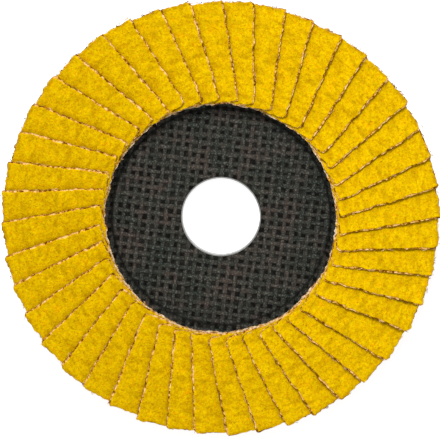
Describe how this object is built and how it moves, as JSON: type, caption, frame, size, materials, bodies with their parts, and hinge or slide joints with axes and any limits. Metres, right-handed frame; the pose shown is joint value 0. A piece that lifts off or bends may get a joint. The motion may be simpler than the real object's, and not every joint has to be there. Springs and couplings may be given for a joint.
{
  "type": "flap disc",
  "caption": "Flat flap disc for an angle grinder: overlapping abrasive cloth flaps in a resin bed on a meshed depressed-centre plate with a steel bore ring.",
  "frame": {"origin": "centre of the bore at the hub's back face", "axes": "+Z along the bore axis towards the abrasive side, +Y at the twelve o'clock of the flap ring"},
  "size_m": [0.125, 0.125, 0.0112],
  "materials": {
    "pressed_mesh": "glass-fibre mesh pressed in dark phenolic resin, matt, with open pits between the yarns",
    "ring_steel": "pressed sheet steel, dull bright",
    "cured_resin": "cured resin, dark amber brown, uneven",
    "abrasive_cloth": "cloth coated with yellow abrasive grain, rough, with bare pinkish-brown cloth at the cut edges"
  },
  "bodies": {
    "root": {"backing_plate": "pressed_mesh", "centre_ring": "ring_steel", "adhesive_ring": "cured_resin", "flap_01": "abrasive_cloth", "flap_02": "abrasive_cloth", "flap_03": "abrasive_cloth", "flap_04": "abrasive_cloth", "flap_05": "abrasive_cloth", "flap_06": "abrasive_cloth", "flap_07": "abrasive_cloth", "flap_08": "abrasive_cloth", "flap_09": "abrasive_cloth", "flap_10": "abrasive_cloth", "flap_11": "abrasive_cloth", "flap_12": "abrasive_cloth", "flap_13": "abrasive_cloth", "flap_14": "abrasive_cloth", "flap_15": "abrasive_cloth", "flap_16": "abrasive_cloth", "flap_17": "abrasive_cloth", "flap_18": "abrasive_cloth", "flap_19": "abrasive_cloth", "flap_20": "abrasive_cloth", "flap_21": "abrasive_cloth", "flap_22": "abrasive_cloth", "flap_23": "abrasive_cloth", "flap_24": "abrasive_cloth", "flap_25": "abrasive_cloth", "flap_26": "abrasive_cloth", "flap_27": "abrasive_cloth", "flap_28": "abrasive_cloth", "flap_29": "abrasive_cloth", "flap_30": "abrasive_cloth", "flap_31": "abrasive_cloth", "flap_32": "abrasive_cloth", "flap_33": "abrasive_cloth", "flap_34": "abrasive_cloth", "flap_35": "abrasive_cloth", "flap_36": "abrasive_cloth", "flap_37": "abrasive_cloth", "flap_38": "abrasive_cloth", "flap_39": "abrasive_cloth", "flap_40": "abrasive_cloth", "flap_41": "abrasive_cloth", "flap_42": "abrasive_cloth", "flap_43": "abrasive_cloth", "flap_44": "abrasive_cloth"}
  },
  "joints": []
}
